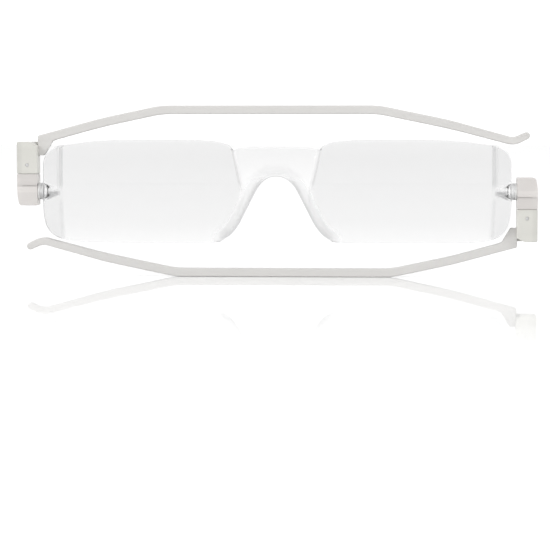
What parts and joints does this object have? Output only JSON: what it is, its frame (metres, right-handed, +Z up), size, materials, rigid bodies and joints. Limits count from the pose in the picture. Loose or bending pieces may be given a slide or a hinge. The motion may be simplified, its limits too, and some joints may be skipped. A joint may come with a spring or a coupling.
{
  "type": "folding reading glasses",
  "caption": "Flat-folding reading glasses: a clear front moulded with its lenses, turning hinge blocks at its ends, and bowed arms that fold flat above and below it.",
  "frame": {"origin": "centre of the footprint, on the surface that the lower arm's straight underside stands on", "axes": "+X to the right as seen from the front, +Y from the front of the lenses to the wearer's side, +Z up; left and right in names are as seen from the front"},
  "size_m": [0.1354, 0.0052, 0.0448],
  "materials": {
    "clear_front": "clear polished optical plastic",
    "hub_plastic": "translucent moulded plastic, faintly warm",
    "yoke_plastic": "milky translucent moulded plastic",
    "arm_plastic": "milky translucent moulded plastic, polished",
    "washer": "natural acetal",
    "steel": "stainless steel"
  },
  "bodies": {
    "front": {"front": "clear_front", "left_pivot_washer": "washer", "right_pivot_washer": "washer"},
    "left_block": {"left_hinge_hub": "hub_plastic", "left_detent_spring": "steel", "left_hinge_yoke": "yoke_plastic", "left_tenon_pin": "steel", "left_arm_pin": "steel"},
    "left_arm": {"left_arm": "arm_plastic"},
    "right_block": {"right_hinge_hub": "hub_plastic", "right_detent_spring": "steel", "right_hinge_yoke": "yoke_plastic", "right_tenon_pin": "steel", "right_arm_pin": "steel"},
    "right_arm": {"right_arm": "arm_plastic"}
  },
  "joints": [
    {"name": "left_block_turn", "type": "hinge", "parent": "front", "child": "left_block", "pos_m": [-0.0645, 0, 0.02237], "axis": [-1, 0, 0], "range_deg": [0, 90]},
    {"name": "left_arm_fold", "type": "hinge", "parent": "left_block", "child": "left_arm", "pos_m": [-0.06445, 0.001, 0.03363], "axis": [0, -1, 0], "range_deg": [0, 90]},
    {"name": "right_block_turn", "type": "hinge", "parent": "front", "child": "right_block", "pos_m": [0.0645, 0, 0.02237], "axis": [1, 0, 0], "range_deg": [0, 90]},
    {"name": "right_arm_fold", "type": "hinge", "parent": "right_block", "child": "right_arm", "pos_m": [0.06445, 0.001, 0.01112], "axis": [0, -1, 0], "range_deg": [0, 90]}
  ]
}
